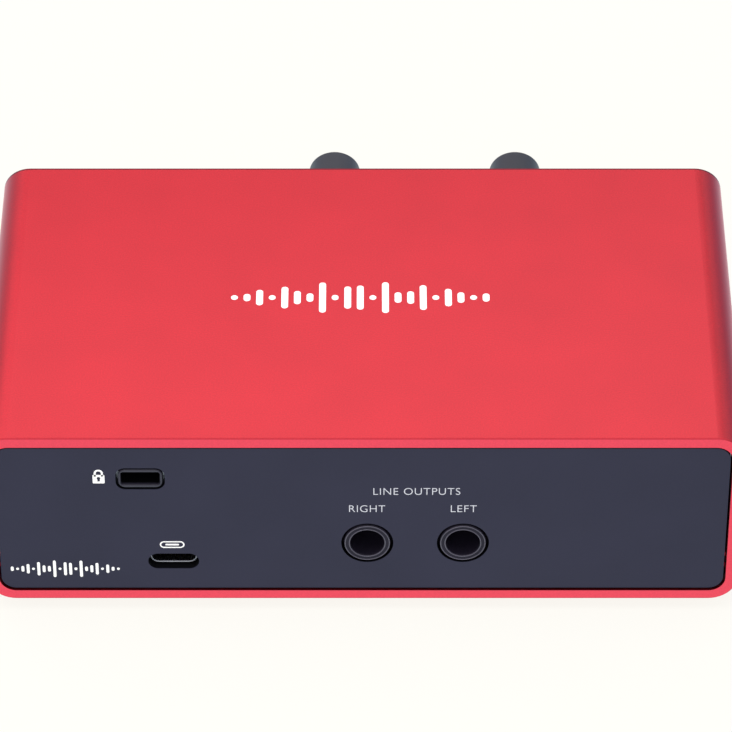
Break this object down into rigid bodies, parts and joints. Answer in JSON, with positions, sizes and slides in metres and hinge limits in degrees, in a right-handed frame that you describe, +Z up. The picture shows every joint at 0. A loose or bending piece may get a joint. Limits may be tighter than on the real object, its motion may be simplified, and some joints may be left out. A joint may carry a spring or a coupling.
{
  "type": "audio interface",
  "caption": "Compact desktop audio interface: anodised sleeve, dark end fascias, turning knobs, push buttons, microphone, jack and data sockets, and a security lock slot.",
  "frame": {"origin": "on the surface the feet stand on, at the middle of the overall width and depth", "axes": "+X to the right as seen from the front (knob) side, +Y towards the rear sockets, +Z up"},
  "size_m": [0.1436, 0.0958, 0.0435],
  "materials": {
    "anodised_aluminium": "red anodised, fine blasted satin",
    "fascia_plastic": "dark slate satin moulding",
    "plate_steel": "zinc plated, satin",
    "screw_steel": "zinc plated",
    "foot_rubber": "matt black",
    "socket_plastic": "black glass-filled moulding",
    "contact_metal": "plated spring metal",
    "port_metal": "nickel plated, seamless",
    "lock_metal": "dark coated casting",
    "knob_plastic": "dark slate soft satin",
    "pointer_plastic": "off-white inlay",
    "halo_diffuser": "milky translucent, unlit",
    "button_plastic": "slate satin caps",
    "pot_body": "dark green moulding",
    "shaft_metal": "turned",
    "switch_plastic": "black",
    "board_laminate": "green solder mask",
    "chip_epoxy": "black epoxy",
    "capacitor_can": "plain can, dark sleeve mark",
    "ferrite": "dark grey ferrite",
    "led_epoxy": "clear resin",
    "light_pipe": "clear acrylic"
  },
  "bodies": {
    "chassis": {"audio_converter_chip": "chip_epoxy", "board_link_header": "switch_plastic", "board_link_pins": "contact_metal", "case_sleeve": "anodised_aluminium", "clock_crystal": "port_metal", "control_board": "board_laminate", "control_board_screws": "screw_steel", "control_board_spacers": "screw_steel", "data_controller_chip": "chip_epoxy", "data_port_contacts": "contact_metal", "data_port_shell": "port_metal", "data_port_tongue": "socket_plastic", "direct_monitor_switch": "switch_plastic", "electrolytic_capacitors": "capacitor_can", "front_chassis_plate": "plate_steel", "front_fascia": "fascia_plastic", "front_plate_screws": "screw_steel", "headphone_jack": "socket_plastic", "headphone_jack_contacts": "contact_metal", "indicator_leds": "led_epoxy", "instrument_gain_halo": "halo_diffuser", "instrument_gain_pot": "pot_body", "instrument_jack": "socket_plastic", "instrument_jack_contacts": "contact_metal", "instrument_switch": "switch_plastic", "left_output_jack": "socket_plastic", "left_output_jack_contacts": "contact_metal", "lock_slot_insert": "lock_metal", "main_board": "board_laminate", "mic_gain_halo": "halo_diffuser", "mic_gain_pot": "pot_body", "mic_socket_contacts": "contact_metal", "mic_socket_housing": "socket_plastic", "mic_socket_insert": "socket_plastic", "mic_socket_screws": "screw_steel", "monitor_pot": "pot_body", "phantom_switch": "switch_plastic", "power_inductors": "ferrite", "presence_switch": "switch_plastic", "rear_chassis_plate": "plate_steel", "rear_fascia": "fascia_plastic", "rear_plate_screws": "screw_steel", "right_output_jack": "socket_plastic", "right_output_jack_contacts": "contact_metal", "rubber_feet": "foot_rubber", "signal_chips": "chip_epoxy", "status_light_pipe": "light_pipe"},
    "mic_gain_dial": {"mic_gain_shaft": "shaft_metal", "mic_gain_knob": "knob_plastic", "mic_gain_pointer": "pointer_plastic"},
    "instrument_gain_dial": {"instrument_gain_shaft": "shaft_metal", "instrument_gain_knob": "knob_plastic", "instrument_gain_pointer": "pointer_plastic"},
    "monitor_dial": {"monitor_shaft": "shaft_metal", "monitor_knob": "knob_plastic", "monitor_pointer": "pointer_plastic"},
    "phantom_key": {"phantom_button": "button_plastic"},
    "presence_key": {"presence_button": "button_plastic"},
    "instrument_key": {"instrument_button": "button_plastic"},
    "direct_monitor_key": {"direct_monitor_button": "button_plastic"}
  },
  "joints": [
    {"name": "mic_gain_turn", "type": "hinge", "parent": "chassis", "child": "mic_gain_dial", "pos_m": [-0.03089, -0.0346, 0.0324], "axis": [0, 1, 0], "range_deg": [-150, 150]},
    {"name": "instrument_gain_turn", "type": "hinge", "parent": "chassis", "child": "instrument_gain_dial", "pos_m": [0.00566, -0.0346, 0.0324], "axis": [0, 1, 0], "range_deg": [-150, 150]},
    {"name": "monitor_turn", "type": "hinge", "parent": "chassis", "child": "monitor_dial", "pos_m": [0.0366, -0.0346, 0.02315], "axis": [0, 1, 0], "range_deg": [-150, 150]},
    {"name": "phantom_press", "type": "slide", "parent": "chassis", "child": "phantom_key", "axis": [0, 1, 0], "range_m": [0, 0.001], "stiffness_N_per_m": 500, "springref_m": -0.0005},
    {"name": "presence_press", "type": "slide", "parent": "chassis", "child": "presence_key", "axis": [0, 1, 0], "range_m": [0, 0.001], "stiffness_N_per_m": 500, "springref_m": -0.0005},
    {"name": "instrument_press", "type": "slide", "parent": "chassis", "child": "instrument_key", "axis": [0, 1, 0], "range_m": [0, 0.001], "stiffness_N_per_m": 500, "springref_m": -0.0005},
    {"name": "direct_monitor_press", "type": "slide", "parent": "chassis", "child": "direct_monitor_key", "axis": [0, 1, 0], "range_m": [0, 0.001], "stiffness_N_per_m": 500, "springref_m": -0.0005}
  ]
}
